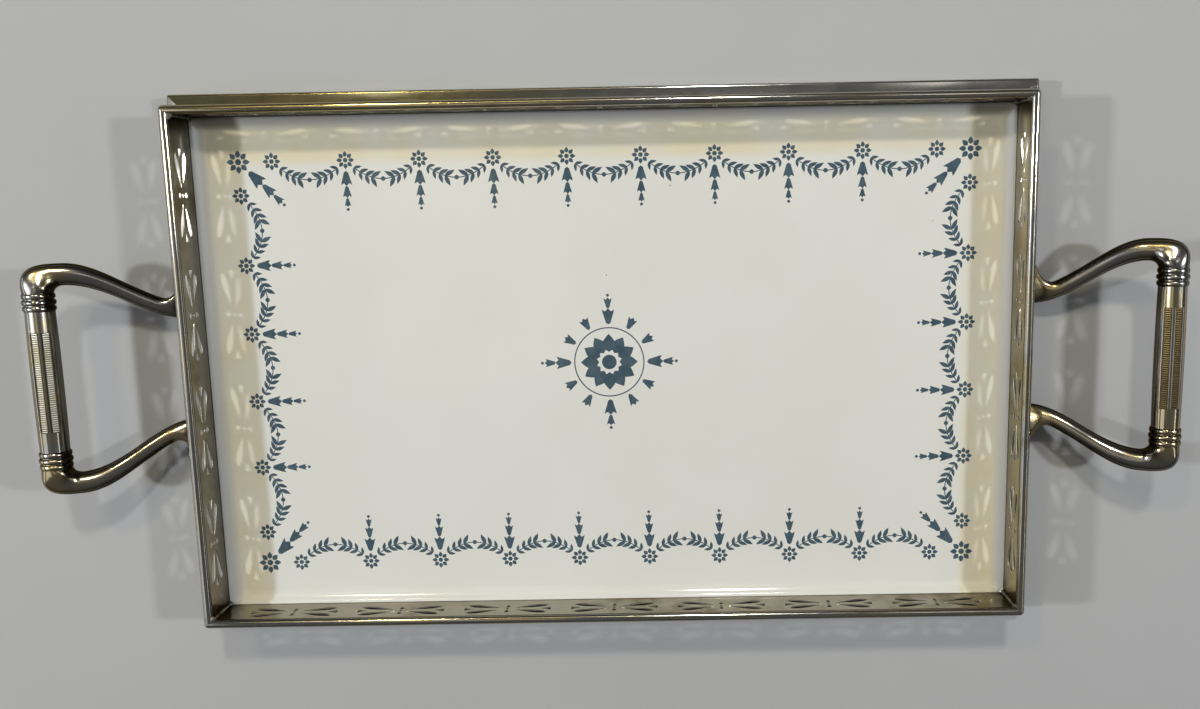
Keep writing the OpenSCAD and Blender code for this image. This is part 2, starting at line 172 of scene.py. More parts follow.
# Corners nearer than this, in metres, become one
WELD = 1e-6


def anticlockwise(points):
    area = sum(a[0] * b[1] - b[0] * a[1] for a, b in zip(points, points[1:] + points[:1]))
    return points if area > 0 else points[::-1]


def soften(points, radius, steps=4):
    """Rounds the corners of a closed outline."""
    most = 0.45
    rounded = []
    count = len(points)
    for i, corner in enumerate(points):
        here = Vector(corner)
        before = Vector(points[i - 1]) - here
        after = Vector(points[(i + 1) % count]) - here
        start = here + before * min(radius / before.length, most)
        end = here + after * min(radius / after.length, most)
        for k in range(steps + 1):
            t = k / steps
            rounded.append(tuple((1 - t) ** 2 * start + 2 * t * (1 - t) * here + t * t * end))
    return rounded


def grow(points, distance):
    """Moves a closed anticlockwise outline outward."""
    grown = []
    count = len(points)
    for i, corner in enumerate(points):
        here = Vector(corner)
        along = (here - Vector(points[i - 1])).normalized()
        onward = (Vector(points[(i + 1) % count]) - here).normalized()
        normal = Vector((along.y + onward.y, -along.x - onward.x)).normalized()
        share = max(0.6, normal.dot(Vector((along.y, -along.x))))
        grown.append(tuple(here + normal * distance / share))
    return grown


def strip(first, second, closed=True):
    """Quads between two rows of points, as corner points."""
    count = len(first)
    last = count if closed else count - 1
    return [(first[i], first[(i + 1) % count], second[(i + 1) % count], second[i]) for i in range(last)]


def skin(rows, closed=True):
    """Quads over rows of points, each row joined to the next."""
    faces = []
    for first, second in zip(rows, rows[1:]):
        faces += strip(first, second, closed)
    return faces


def cut_flat(boundary, outlines):
    """Triangles of a flat outline, cut along the outlines inside it.

    Each comes with the numbers of the outlines that hold it.
    """
    inside_only = 1
    nearness = 1e-5
    points = []
    loops = []
    for outline in [boundary] + outlines:
        start = len(points)
        points.extend(Vector(p) for p in anticlockwise(outline))
        loops.append(list(range(start, len(points))))
    made = geometry.delaunay_2d_cdt(points, [], loops, inside_only, nearness)
    corners, triangles, origins = made[0], made[2], made[5]
    for triangle, origin in zip(triangles, origins):
        yield [tuple(corners[i]) for i in triangle], {o - 1 for o in origin if o > 0}


def make_piece(name, faces, materials, nodes, sharp=35):
    """A piece from faces given as (corner points, material number). It stands for the CAD nodes."""
    mesh = bpy.data.meshes.new(name)
    shape = bmesh.new()
    for corners, number in faces:
        face = shape.faces.new([shape.verts.new(Vector(c) * MM) for c in corners])
        face.material_index = number
        face.smooth = True
    bmesh.ops.remove_doubles(shape, verts=shape.verts, dist=WELD)
    bmesh.ops.recalc_face_normals(shape, faces=shape.faces)
    shape.to_mesh(mesh)
    shape.free()
    mesh.set_sharp_from_angle(angle=math.radians(sharp))
    for material in materials:
        mesh.materials.append(material)
    piece = bpy.data.objects.new(name, mesh)
    bpy.context.scene.collection.objects.link(piece)
    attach(piece, "root")
    if nodes:
        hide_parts(*nodes)


def plain(faces, number=0):
    return [(corners, number) for corners in faces]


def side_point(side, along, out, z):
    """A point by its place along a side of the tray, its distance out and its height."""
    x, y = along, -(half_along(side + 1) + out)
    for _ in range(side):
        x, y = -y, x
    return (x, y, z)


def half_along(side):
    return HALF_L if side % 2 == 0 else HALF_W


def mitred_run(section, side, round_from, steps=6):
    """Faces of a closed section run along a side, with mitred ends whose outer corners are round."""
    half = half_along(side)
    rows = []
    for out, z in section:
        turn = min(out, round_from)
        radius = out - turn
        row = []
        for i in range(steps + 1):
            angle = math.radians(45) * (1 - i / steps)
            row.append((-(half + turn + radius * math.sin(angle)), turn + radius * math.cos(angle)))
        row += [(-along, place) for along, place in reversed(row)]
        rows.append([side_point(side, along, place, z) for along, place in row])
    ends = [[row[0] for row in rows], [row[-1] for row in rows]]
    return skin(rows + rows[:1], closed=False) + ends


# Material helpers

# The shader's inputs by the short names used below
SOCKETS = {"colour": "Base Color", "roughness": "Roughness", "normal": "Normal", "metallic": "Metallic",
           "ior": "IOR", "sheen": "Sheen Weight", "tint": "Specular Tint"}
NOISE_ROUGH = 0.55


def new_material(name, **settings):
    """A material with its node tree and its shader, which gets the settings."""
    material = bpy.data.materials.new(name)
    material.use_nodes = True
    tree = material.node_tree
    shader = tree.nodes["Principled BSDF"]
    for key, value in settings.items():
        shader.inputs[SOCKETS[key]].default_value = value
    return material, tree, shader


def add(tree, kind, inputs=None, **settings):
    node = tree.nodes.new(f"ShaderNode{kind}")
    for key, value in settings.items():
        setattr(node, key, value)
    for key, value in (inputs or {}).items():
        if isinstance(value, bpy.types.NodeSocket):
            tree.links.new(value, node.inputs[key])
        else:
            node.inputs[key].default_value = value
    return node


def place_of(tree):
    """Position on the object, in metres."""
    return add(tree, "TexCoord").outputs["Object"]


def place_along(tree, axis):
    """Position on the object along one axis, in metres."""
    return add(tree, "SeparateXYZ", {0: place_of(tree)}).outputs[axis]


def noise(tree, scale, detail, stretch=None):
    """Cloudy pattern. Scale is the number of clouds in a metre."""
    place = place_of(tree)
    if stretch:
        place = add(tree, "Mapping", {"Vector": place, "Scale": stretch}).outputs["Vector"]
    inputs = {"Vector": place, "Scale": scale, "Detail": detail, "Roughness": NOISE_ROUGH}
    return add(tree, "TexNoise", inputs).outputs["Fac"]


def calc(tree, operation, first, second=0.5):
    return add(tree, "Math", {0: first, 1: second}, operation=operation).outputs[0]


def times(tree, first, second):
    return calc(tree, "MULTIPLY", first, second)


def fade(tree, value, start, end, low=0.0, high=1.0):
    """Goes smoothly from low to high while value goes from start to end."""
    inputs = {"Value": value, "From Min": start, "From Max": end, "To Min": low, "To Max": high}
    return add(tree, "MapRange", inputs, interpolation_type="SMOOTHSTEP").outputs["Result"]


def mottle(tree, scale, detail, stretch=None, start=0.3, end=0.7):
    """Soft patches, from 0 to 1."""
    return fade(tree, noise(tree, scale, detail, stretch), start, end)


def blend_colours(tree, share, first, second, mode="MIX"):
    inputs = {0: share, 6: first, 7: second}
    return add(tree, "Mix", inputs, data_type="RGBA", blend_type=mode).outputs[2]


def relief(tree, height, depth, strength, under=None):
    """Bumps of a depth in millimetres, on top of the bumps under them."""
    inputs = {"Height": height, "Distance": depth * MM, "Strength": strength}
    if under is not None:
        inputs["Normal"] = under
    return add(tree, "Bump", inputs).outputs["Normal"]


def feed(tree, shader, **sockets):
    for key, socket in sockets.items():
        tree.links.new(socket, shader.inputs[SOCKETS[key]])


def rgb(red, green, blue):
    return (red, green, blue, 1.0)


def edge_distance(tree):
    """Distance from the gallery along X and along Y, in millimetres."""
    found = []
    for axis, half in (("X", HALF_L), ("Y", HALF_W)):
        size = calc(tree, "ABSOLUTE", place_along(tree, axis))
        found.append(times(tree, calc(tree, "SUBTRACT", half * MM, size), 1 / MM))
    return found


# Materials

# Where the glaze is yellowed and where shade and reflections are painted on it, in millimetres from the
# gallery, and by how much
BAND_FROM = 25
BAND_FULL = 19
BESIDE_FULL = 20
CORNER_FROM = 23
CORNER_FULL = 15
CORNER_SHARE = 0.22
COVE_FROM = COVE_W + 1
COVE_SHADE_FULL = 1.5
COVE_SHADE_SHARE = 0.92
COVE_FULL = 3
CORNER_SHADOW_SHARE = 0.7
COVE_ROUGH = 0.42
GLAZE_IOR = 1.52
CREAM = rgb(0.775, 0.785, 0.765)
DEEP_CREAM = rgb(0.755, 0.76, 0.73)
# Tan of the yellowed stain along the gallery, which also paints the shade of the shadow bands there
TAN_STAIN_AND_SHADE = rgb(0.74, 0.66, 0.42)
# Painted golden reflection and shade of the walls in the back corners
PAINTED_CORNER_REFLECTION = rgb(0.62, 0.48, 0.10)
# Painted shade and wall reflection in the cove, except at the front
COVE_SHADE_GREY = rgb(0.39, 0.405, 0.415)
# Painted shadow in the cove of the back corners, where the walls meet
PAINTED_CORNER_SHADOW = rgb(0.12, 0.095, 0.06)
# Specks in the glaze: the scale of their cells, their edge in a cell, and which cells have one
SPECK_SCALE = 95.0
SPECK_EDGE = (0.035, 0.02)
SPECK_CHOICE = (0.93, 0.94)
SPECK = rgb(0.16, 0.10, 0.05)


def glaze_surface(tree, shader, dull=None):
    """The glossy skin that the plain glaze and the print under it share. Dull is a least roughness."""
    waves = relief(tree, noise(tree, 26, 2), depth=0.25, strength=0.35)
    pores = relief(tree, noise(tree, 900, 2), depth=0.015, strength=0.35, under=waves)
    scuffs = noise(tree, 60, 5, (1, 14, 1))
    gloss = fade(tree, scuffs, 0.45, 0.75, low=0.08, high=0.17)
    if dull is not None:
        gloss = calc(tree, "MAXIMUM", gloss, dull)
    feed(tree, shader, normal=pores, roughness=gloss)


def glaze():
    """Cream glaze with specks; along the gallery a yellowed stain and painted shade and reflections."""
    material, tree, shader = new_material("cream_glaze", ior=GLAZE_IOR)
    colour = blend_colours(tree, mottle(tree, 14, 5), CREAM, DEEP_CREAM)
    along = edge_distance(tree)[0]
    behind = calc(tree, "ADD", times(tree, place_along(tree, "Y"), -1 / MM), HALF_W)
    near = calc(tree, "MINIMUM", along, behind)
    patches = fade(tree, noise(tree, 30, 3), 0.3, 0.7, low=0.3, high=0.7)
    # Yellowed stain with painted shade: tan bands along the left, right and back of the gallery
    stain_and_shade = times(tree, fade(tree, near, BAND_FROM, BAND_FULL), patches)
    colour = blend_colours(tree, stain_and_shade, colour, TAN_STAIN_AND_SHADE)
    beside = fade(tree, along, BAND_FROM, BESIDE_FULL)
    # Painted golden reflection and shade in the back corners
    corner = times(tree, beside, fade(tree, behind, CORNER_FROM, CORNER_FULL, high=CORNER_SHARE))
    colour = blend_colours(tree, corner, colour, PAINTED_CORNER_REFLECTION)
    # Painted shade and wall reflection in the cove
    cove_shade = fade(tree, near, COVE_FROM, COVE_SHADE_FULL, high=COVE_SHADE_SHARE)
    colour = blend_colours(tree, cove_shade, colour, COVE_SHADE_GREY)
    # Painted shadow in the cove of the back corners
    corner_shadow = times(tree, beside, fade(tree, behind, COVE_FROM, COVE_FULL, high=CORNER_SHADOW_SHARE))
    colour = blend_colours(tree, corner_shadow, colour, PAINTED_CORNER_SHADOW)
    cells = add(tree, "TexVoronoi", {"Vector": place_of(tree), "Scale": SPECK_SCALE})
    draw = add(tree, "SeparateColor", {0: cells.outputs["Color"]}).outputs[0]
    speck = times(tree, fade(tree, cells.outputs["Distance"], *SPECK_EDGE), fade(tree, draw, *SPECK_CHOICE))
    feed(tree, shader, colour=blend_colours(tree, speck, colour, SPECK))
    glaze_surface(tree, shader, fade(tree, near, COVE_FROM, COVE_FULL, high=COVE_ROUGH))
    return material


def print_ink():
    material, tree, shader = new_material("slate_blue_print", ior=GLAZE_IOR)
    tone = mottle(tree, 220, 4)
    feed(tree, shader, colour=blend_colours(tree, tone, rgb(0.050, 0.088, 0.122), rgb(0.082, 0.128, 0.165)))
    glaze_surface(tree, shader)
    return material


def biscuit():
    material, tree, shader = new_material("unglazed_foot")
    tone = mottle(tree, 60, 6)
    colour = blend_colours(tree, tone, rgb(0.60, 0.53, 0.42), rgb(0.50, 0.43, 0.33))
    rub = mottle(tree, 25, 6, (1, 6, 1), 0.55, 0.75)
    feed(tree, shader, colour=blend_colours(tree, rub, colour, rgb(0.30, 0.27, 0.22)),
         normal=relief(tree, noise(tree, 1400, 3), depth=0.04, strength=0.6),
         roughness=fade(tree, tone, 0, 1, low=0.75, high=0.9))
    return material


NICKEL_TINT = rgb(0.45, 0.40, 0.33)
BARE_BRASS = rgb(0.70, 0.56, 0.26)
CORNER_DARK = rgb(0.075, 0.06, 0.038)
# Places along X, in metres, between which a painted warm reflection turns the plate golden, and how far it
# turns
WARM_REFLECTION_RANGE = (0.04, -0.10)
WARM_REFLECTION_SHARE = 0.8
# Lengths over which wear and the darkening in the corners set in, and the least wear elsewhere
WEAR_FADE = 8
ROOT_WEAR_FADE = 12
LEAST_WEAR = 0.2
CORNER_DARK_FULL = -2
SHADE_FADE = 0.5


def nickel(name, clean, tarnish, amount, rough=0.12, wear=0.0, worn_from=0, worn_to=0, shade=None,
           shade_from=0.66, corners=None, dents=(14, 0.5, 0.1), warm_reflection=None):
    """Old nickel plate: cloudy tarnish, fine scratches, and brass where it is worn through.

    Worn_from is the distance from the middle, along X, where the wear sets in, and worn_to one where wear
    near the tray ends. Shade is the colour of painted shade on the sides that face up less than
    shade_from, as if less light fell on them.
    Corners is the width over which the colour darkens towards the gallery's inside corners. Dents are their
    scale, depth and strength.
    Warm_reflection is the colour of a painted warm reflection, laid on towards the tray's left end.
    """
    material, tree, shader = new_material(name, metallic=1.0, tint=NICKEL_TINT)
    clouds = calc(tree, "ADD", times(tree, noise(tree, 16, 3), 0.65), times(tree, noise(tree, 110, 3), 0.35))
    dull = fade(tree, clouds, 0.66 - 0.3 * amount, 0.86 - 0.3 * amount)
    colour = blend_colours(tree, dull, rgb(*clean), rgb(*tarnish))
    along, across = edge_distance(tree)
    # Painted warm reflection, stronger towards the tray's left end
    if warm_reflection:
        warm_share = fade(tree, place_along(tree, "X"), *WARM_REFLECTION_RANGE, high=WARM_REFLECTION_SHARE)
        colour = blend_colours(tree, warm_share, colour, rgb(*warm_reflection), "MULTIPLY")
    if wear:
        start = HALF_L - worn_from
        reach = fade(tree, along, start + WEAR_FADE, start - WEAR_FADE, low=LEAST_WEAR)
        if worn_to:
            end = HALF_L - worn_to
            reach = calc(tree, "MAXIMUM", reach, fade(tree, along, end, end + ROOT_WEAR_FADE))
        bare = times(tree, mottle(tree, 40, 3, None, 0.41, 0.57), reach)
        colour = blend_colours(tree, times(tree, bare, wear), colour, BARE_BRASS)
    # Painted shade: sides that face up less than shade_from darken towards the shade colour
    if shade:
        facing = add(tree, "NewGeometry").outputs["Normal"]
        upward = add(tree, "SeparateXYZ", {0: facing}).outputs["Z"]
        side = fade(tree, upward, shade_from, shade_from - SHADE_FADE)
        colour = blend_colours(tree, side, colour, rgb(*shade))
    if corners:
        # Darker towards the gallery's inside corners
        corner_dark = times(tree, *(fade(tree, near, corners, CORNER_DARK_FULL) for near in (along, across)))
        corner_dark = times(tree, corner_dark, fade(tree, noise(tree, 45, 3), 0.2, 0.6, low=0.4, high=0.95))
        colour = blend_colours(tree, corner_dark, colour, CORNER_DARK)
    lines = calc(tree, "MAXIMUM", noise(tree, 30, 3, (1, 40, 40)), noise(tree, 30, 3, (40, 1, 40)))
    scratch = fade(tree, lines, 0.64, 0.74)
    gloss = fade(tree, clouds, 0.35, 0.75, low=rough, high=rough + 0.12)
    gloss = calc(tree, "ADD", gloss, times(tree, scratch, 0.06))
    scale, depth, strength = dents
    uneven = relief(tree, noise(tree, scale, 2), depth, strength)
    feed(tree, shader, colour=colour, roughness=gloss,
         normal=relief(tree, scratch, depth=0.006, strength=0.4, under=uneven))
    return material


def mottled(name, first, second, patches, rough, grain, **settings):
    """A material of two tones in patches, each with its roughness, and with a grain of fine bumps."""
    material, tree, shader = new_material(name, **settings)
    tone = mottle(tree, *patches)
    scale, detail, depth, strength = grain
    feed(tree, shader, colour=blend_colours(tree, tone, rgb(*first), rgb(*second)),
         roughness=fade(tree, tone, 0, 1, *rough),
         normal=relief(tree, noise(tree, scale, detail), depth, strength))
    return material


def worn_brass(name, pale, deep, rough):
    return mottled(name, pale, deep, (60, 4), (rough, rough + 0.14), (900, 3, 0.008, 0.4), metallic=1.0)


GLAZE = glaze()
INK = print_ink()
BISCUIT = biscuit()
# Walls of the gallery in the order of SIDES, each lighter or darker for the light on its side: painted light
# and shade
CORNER_DARK_W = 14
WALL_NICKEL = [
    nickel(f"{name}_wall_nickel", clean, tarnish, amount, 0.16, corners=CORNER_DARK_W)
    for name, clean, tarnish, amount in (
        ("front", (0.53, 0.51, 0.45), (0.31, 0.285, 0.22), 0.65),
        ("right", (0.72, 0.675, 0.55), (0.48, 0.44, 0.33), 0.6),
        ("back", (0.46, 0.445, 0.40), (0.265, 0.245, 0.19), 0.65),
        ("left", (0.355, 0.345, 0.315), (0.20, 0.185, 0.15), 0.65),
    )
]
# The punched edges are paler than the walls: a painted glint along them
CUT_EDGE = nickel("cut_edge", (0.80, 0.76, 0.64), (0.55, 0.49, 0.35), 0.4, 0.2)
RIM_SHADE = (0.11, 0.095, 0.07)
RIM_NICKEL = nickel("rim_nickel", (0.54, 0.535, 0.515), (0.33, 0.30, 0.235), 0.5, 0.08, 0.3, shade=RIM_SHADE)
# The back rim is a lighter copy of the rim with a painted warm reflection: painted light
BACK_RIM_NICKEL = nickel("back_rim_nickel", (0.60, 0.595, 0.57), (0.37, 0.34, 0.27), 0.5, 0.08, 0.3,
                         shade=RIM_SHADE, warm_reflection=(1.0, 0.88, 0.52))
# Base moulding, also in the order of SIDES, each with a tone set for the light on its side: painted light
# and shade. The front is painted dark as shade, and the back has a painted warm reflection
RAIL_NICKEL = (
    nickel("front_moulding_nickel", (0.20, 0.19, 0.165), (0.08, 0.07, 0.05), 0.72, 0.16),
    nickel("right_moulding_nickel", (0.37, 0.37, 0.36), (0.15, 0.145, 0.13), 0.6, 0.06, 0.1),
    nickel("back_moulding_nickel", (0.56, 0.56, 0.545), (0.21, 0.20, 0.17), 0.65, 0.10,
           warm_reflection=(0.85, 0.73, 0.32)),
    nickel("left_moulding_nickel", (0.30, 0.30, 0.29), (0.11, 0.10, 0.08), 0.65, 0.06, 0.1),
)
# The handles are worn to brass where hands hold them, and the arms at their roots too; on the elbows and
# roots this brass also stands for a painted warm reflection. Their sides get painted shade.
HAND_X = GRIP_X - 14
ROOT_X = FACE_X + 20
CAST_DENTS = (45, 0.8, 0.14)
CAST_NICKEL = nickel("cast_nickel", (0.44, 0.435, 0.42), (0.31, 0.275, 0.20), 0.45, 0.14, 0.65, HAND_X,
                     ROOT_X, shade=(0.045, 0.038, 0.028), shade_from=0.95, dents=CAST_DENTS)
GRIP_NICKEL = nickel("grip_nickel", (0.54, 0.535, 0.515), (0.33, 0.295, 0.22), 0.45, 0.14, 0.6, HAND_X,
                     shade=(0.19, 0.18, 0.165), shade_from=0.6, dents=CAST_DENTS)
# The left grip's ribs are pale and the right grip's dark, for how light falls on each: painted light and
# shade on worn brass
LEFT_RIBS = worn_brass("left_ribs", (0.86, 0.85, 0.81), (0.72, 0.65, 0.48), 0.33)
RIGHT_RIBS = worn_brass("right_ribs", (0.31, 0.225, 0.085), (0.155, 0.10, 0.036), 0.25)
# Raised edges of the panels: rubbed bright with a painted highlight on the right grip, painted shade on the
# left one
RUBBED_HIGHLIT_EDGE = nickel("rubbed_highlit_edge", (0.86, 0.86, 0.85), (0.60, 0.57, 0.50), 0.3, 0.34)
SHADED_PANEL_EDGE = nickel("shaded_panel_edge", (0.13, 0.12, 0.10), (0.06, 0.05, 0.035), 0.5, 0.2)
# Dark colour between the ribs and on the panels' end walls
RIB_GROOVE_DARK = mottled("rib_grooves", (0.05, 0.036, 0.02), (0.11, 0.08, 0.045), (300, 4, None, 0.35),
                   (0.7, 0.7), (1500, 3, 0.03, 0.5))
SOLDER = mottled("soft_solder", (0.36, 0.35, 0.32), (0.08, 0.068, 0.05), (260, 4, None, 0.35, 0.65),
                 (0.25, 0.5), (420, 3, 0.12, 0.5), metallic=1.0)
BRASS = worn_brass("bare_brass", (0.62, 0.46, 0.20), (0.40, 0.28, 0.11), 0.3)
STEEL = mottled("turned_steel", (0.42, 0.41, 0.39), (0.22, 0.18, 0.14), (500, 4, (1, 1, 8)),
                (0.28, 0.5), (1600, 3, 0.02, 0.5), metallic=1.0)
FELT = mottled("green_felt", (0.045, 0.06, 0.035), (0.11, 0.125, 0.075), (1800, 5), (0.95, 0.95),
               (1800, 5, 0.2, 0.8), sheen=0.5)
FLOOR_PAINT = mottled("pale_floor", (0.47, 0.483, 0.50), (0.447, 0.458, 0.475), (3, 4), (0.9, 0.9),
                      (260, 4, 0.15, 0.3))


# Print on the plate: laurel festoons between rosettes, and a round ornament in the middle

ROSETTE_INSET = 21
CORNER_FREE = 16
SWAG_PITCH = 36
SWAG_SAG = 9
SWAG_LEAVES = 4
# Shares of a festoon's span where its cord starts and where its leaves end
SWAG_START = 0.11
LEAVES_END = 0.34
SMALLEST_LEAF = 0.7
LEAF_LEAN = 0.8
SWAG_DOT_R = 1.1
CORD_W = 0.5
LEAF_L = 5.6
LEAF_W = 2.1
ROSETTE_R = 4.3
PETALS = 8
# Shares of a rosette's radius
EYE_R = 0.26
PETAL_START = 0.36
PETAL_L = 0.64
PETAL_W = 0.46
# Lengths and widths of the husks in a string, its distance from the rosette, and the drop at its end
HUSKS = ((7.2, 4.8), (5.8, 3.7), (4.4, 2.7))
HUSK_GAP = 0.8
HUSK_STEP = 0.98
DROP_GAP = 1.2
DROP_R = 0.75
CORNER_ROSETTE_R = 5.6
CORNER_HUSKS = ((9.0, 6.0), (7.2, 4.7), (5.6, 3.5))
CORNER_HUSK_GAP = 1
MIDDLE_R = 14
MIDDLE_PETALS = 12
MIDDLE_RING_R = 17
MIDDLE_RING_W = 0.6
MIDDLE_HUSKS_R = 18.6
MIDDLE_HUSKS = ((8.0, 5.4), (5.4, 3.6))
LONE_HUSK = (6.4, 4.2)


def turned(points, centre, direction):
    """Puts points drawn along +X at a place, turned to a direction."""
    ahead = Vector(direction).normalized()
    beside = Vector((-ahead.y, ahead.x))
    return [tuple(Vector(centre) + ahead * x + beside * y) for x, y in points]


def leaf(centre, direction, length, width, steps=7):
    upper = []
    for i in range(steps + 1):
        t = i / steps
        upper.append((length * i / steps, width / 2 * math.sin(math.pi * t ** 0.8)))
    lower = [(x, -y) for x, y in reversed(upper[1:-1])]
    return turned(upper + lower, centre, direction)


def bellflower(centre, direction, length, width):
    """A three-lobed husk that opens along its direction."""
    half = [(0.10, 0.22), (0.30, 0.30), (0.52, 0.40), (0.74, 0.50), (0.92, 0.56), (0.80, 0.26)]
    upper = [(length * x, width * y) for x, y in half]
    lower = [(x, -y) for x, y in reversed(upper)]
    return turned([(0, 0)] + upper + [(length, 0)] + lower, centre, direction)


def disc(centre, radius, steps=20):
    return [(centre[0] + radius * math.cos(2 * math.pi * i / steps),
             centre[1] + radius * math.sin(2 * math.pi * i / steps)) for i in range(steps)]


def ribbon(points, width):
    """A line of even width through points."""
    left = []
    right = []
    for i, point in enumerate(points):
        ahead = Vector(points[min(i + 1, len(points) - 1)]) - Vector(points[max(i - 1, 0)])
        beside = Vector((-ahead.y, ahead.x)).normalized() * width / 2
        left.append(tuple(Vector(point) + beside))
        right.append(tuple(Vector(point) - beside))
    return left + right[::-1]


def rosette(centre, radius, petals):
    shapes = [disc(centre, radius * EYE_R)]
    for i in range(petals):
        angle = 2 * math.pi * i / petals
        ahead = (math.cos(angle), math.sin(angle))
        start = (centre[0] + ahead[0] * radius * PETAL_START, centre[1] + ahead[1] * radius * PETAL_START)
        shapes.append(leaf(start, ahead, radius * PETAL_L, radius * PETAL_W))
    return shapes


def pendant(start, direction, sizes):
    """A string of husks that get smaller, with a drop at its end."""
    ahead = Vector(direction).normalized()
    place = Vector(start)
    shapes = []
    for length, width in sizes:
        shapes.append(bellflower(place, ahead, length, width))
        place = place + ahead * (length * HUSK_STEP)
    shapes.append(disc(place + ahead * DROP_GAP, DROP_R, 12))
    return shapes


def swag(first, second, inward):
    """A hanging cord between two rosettes, with leaves in pairs that point to its middle."""
    start = Vector(first)
    span = Vector(second) - start
    deep = Vector(inward)

    def point(t):
        return start + span * t + deep * SWAG_SAG * (1 - (2 * t - 1) ** 2)

    steps = 24
    line = [point(SWAG_START + (1 - 2 * SWAG_START) * i / steps) for i in range(steps + 1)]
    shapes = [ribbon(line, CORD_W)]
    a_little = 0.01
    for half in (0, 1):
        for i in range(SWAG_LEAVES):
            t = SWAG_START + (LEAVES_END - SWAG_START) * i / (SWAG_LEAVES - 1)
            place = point(t if half == 0 else 1 - t)
            onward = point(t + a_little if half == 0 else 1 - t - a_little) - place
            size = SMALLEST_LEAF + (1 - SMALLEST_LEAF) * i / (SWAG_LEAVES - 1)
            for lean in (-LEAF_LEAN, LEAF_LEAN):
                ahead = Vector((onward.x * math.cos(lean) - onward.y * math.sin(lean),
                                onward.x * math.sin(lean) + onward.y * math.cos(lean)))
                shapes.append(leaf(place, ahead, LEAF_L * size, LEAF_W * size))
    shapes.append(disc(point(0.5), SWAG_DOT_R, 16))
    return shapes


def border_print():
    """Festoons along the four sides, hung from rosettes, with a string of husks below each rosette."""
    x = HALF_L - ROSETTE_INSET
    y = HALF_W - ROSETTE_INSET
    shapes = []
    for start, end, inward in (((-x, -y), (x, -y), (0, 1)), ((x, -y), (x, y), (-1, 0)),
                               ((x, y), (-x, y), (0, -1)), ((-x, y), (-x, -y), (1, 0))):
        corner = Vector(start)
        ahead = (Vector(end) - corner).normalized()
        first = corner + ahead * CORNER_FREE
        run = Vector(end) - corner - ahead * 2 * CORNER_FREE
        count = round(run.length / SWAG_PITCH)
        knots = [first + run * i / count for i in range(count + 1)]
        for here, there in zip(knots, knots[1:]):
            shapes += swag(here, there, inward)
        for knot in knots:
            shapes += rosette(knot, ROSETTE_R, PETALS)
        for knot in knots[1:-1]:
            shapes += pendant(knot + Vector(inward) * (ROSETTE_R + HUSK_GAP), inward, HUSKS)
        inside = Vector((-1 if start[0] > 0 else 1, -1 if start[1] > 0 else 1))
        shapes += rosette(corner, CORNER_ROSETTE_R, PETALS)
        hung_from = corner + inside.normalized() * (CORNER_ROSETTE_R + CORNER_HUSK_GAP)
        shapes += pendant(hung_from, inside, CORNER_HUSKS)
    return shapes


def middle_print():
    """A rosette in a ring, with husks that stand out from it."""
    shapes = rosette((0, 0), MIDDLE_R, MIDDLE_PETALS)
    half = 36
    circle = disc((0, 0), MIDDLE_RING_R, 2 * half)
    for arc in (circle[:half + 1], circle[half:] + circle[:1]):
        shapes.append(ribbon(arc, MIDDLE_RING_W))
    for i in range(MIDDLE_PETALS):
        angle = 2 * math.pi * i / MIDDLE_PETALS
        ahead = Vector((math.cos(angle), math.sin(angle)))
        if i % 3 == 0:
            shapes += pendant(ahead * MIDDLE_HUSKS_R, ahead, MIDDLE_HUSKS)
        else:
            shapes.append(bellflower(ahead * MIDDLE_HUSKS_R, ahead, *LONE_HUSK))
    return shapes


# Plate

def rounded_loop(half_x, half_y, radius, steps=8):
    loop = []
    for quarter, (x, y) in enumerate(((1, 1), (-1, 1), (-1, -1), (1, -1))):
        for i in range(steps + 1):
            angle = math.radians(90) * (quarter + i / steps)
            loop.append((x * (half_x - radius) + radius * math.cos(angle),
                         y * (half_y - radius) + radius * math.sin(angle)))
    return loop


def plate():
    """Slab with a coved edge and a foot ring. Its flat top is cut along the outlines of the print."""
    glazed, printed, bare = range(3)
    low, high = plate_low.z, plate_high.z
    # Inset, height and corner radius of each loop, from the underside round the edge to the land
    outline = [
        (FOOT_W + 0.8, low + FOOT_RECESS, 2), (FOOT_W + 0.25, low + FOOT_RECESS * 0.75, 2),
        (FOOT_W - 0.25, low + 0.08, 2), (FOOT_W - 0.7, low, 2), (1.2, low, 2), (0.35, low + 0.3, 2),
        (0, low + 1.1, 2), (-EDGE_FILL, high - 0.7, 2), (-EDGE_FILL, high - 0.2, 2), (0, high, 2),
        (LAND_W, high - 0.04, 2.2),
    ]
    foot_strips = (2, 3, 4)
    cove_steps = 12
    for i in range(1, cove_steps + 1):
        up = 1 - math.sin(math.radians(90) * i / cove_steps)
        outline.append((COVE_W - (COVE_W - LAND_W) * up, PLATE_FLOOR + COVE_H * up * up, 4.2 - 2 * up))
    loops = []
    for inset, z, radius in outline:
        flat = rounded_loop(plate_high.x - inset, plate_high.y - inset, radius)
        loops.append([(x, y, z) for x, y in flat])
    faces = []
    for i, (first, second) in enumerate(zip(loops, loops[1:])):
        faces += plain(strip(first, second), bare if i in foot_strips else glazed)
    faces.append((loops[0], glazed))
    prints = border_print() + middle_print()
    for corners, held_by in cut_flat([(x, y) for x, y, _ in loops[-1]], prints):
        faces.append(([(x, y, PLATE_FLOOR) for x, y in corners], printed if held_by else glazed))
    make_piece("plate", faces, [GLAZE, INK, BISCUIT], ["ceramic_plate"], 40)


# Gallery

